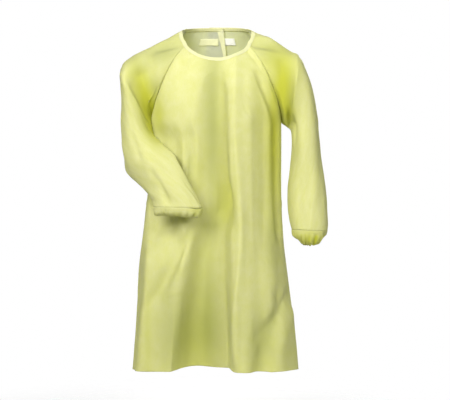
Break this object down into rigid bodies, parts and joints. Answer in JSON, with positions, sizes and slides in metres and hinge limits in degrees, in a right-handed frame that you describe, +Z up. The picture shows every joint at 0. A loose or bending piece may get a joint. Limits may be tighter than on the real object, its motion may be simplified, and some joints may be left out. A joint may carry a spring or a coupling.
{
  "type": "exam gown",
  "caption": "Hollow, worn-shape exam gown of thin yellow nonwoven cloth: long sleeves with gathered cuffs, bound neck, back closing with neck tapes and waist ties.",
  "frame": {"origin": "where the gown is held: the middle of the neck opening between the shoulders, level with the neck's sides", "axes": "+Z up, the gown's front faces -Y, the wearer's left is +X"},
  "size_m": [0.6902, 0.4389, 1.1692],
  "materials": {
    "front_panel": "matt nonwoven, slightly see-through",
    "back_panel_left": "matt nonwoven, slightly see-through",
    "back_panel_right": "matt nonwoven, slightly see-through",
    "sleeve_left": "matt nonwoven, slightly see-through",
    "sleeve_right": "matt nonwoven, slightly see-through",
    "cuff_left": "matt gathered nonwoven",
    "cuff_right": "matt gathered nonwoven",
    "neck_binding": "matt folded nonwoven strip",
    "hook_tape": "white hook tape",
    "loop_tape": "pale loop tape",
    "waist_tie_left": "matt folded nonwoven strip",
    "waist_tie_right": "matt folded nonwoven strip",
    "waist_knot": "matt folded nonwoven strip",
    "tie_tail_left": "matt folded nonwoven strip",
    "tie_tail_right": "matt folded nonwoven strip"
  },
  "bodies": {
    "root": {"front_panel": "front_panel", "back_panel_left": "back_panel_left", "back_panel_right": "back_panel_right", "sleeve_left": "sleeve_left", "sleeve_right": "sleeve_right", "cuff_left": "cuff_left", "cuff_right": "cuff_right", "neck_binding": "neck_binding", "hook_tape": "hook_tape", "loop_tape": "loop_tape", "waist_tie_left": "waist_tie_left", "waist_tie_right": "waist_tie_right", "waist_knot": "waist_knot", "tie_tail_left": "tie_tail_left", "tie_tail_right": "tie_tail_right"}
  },
  "joints": []
}
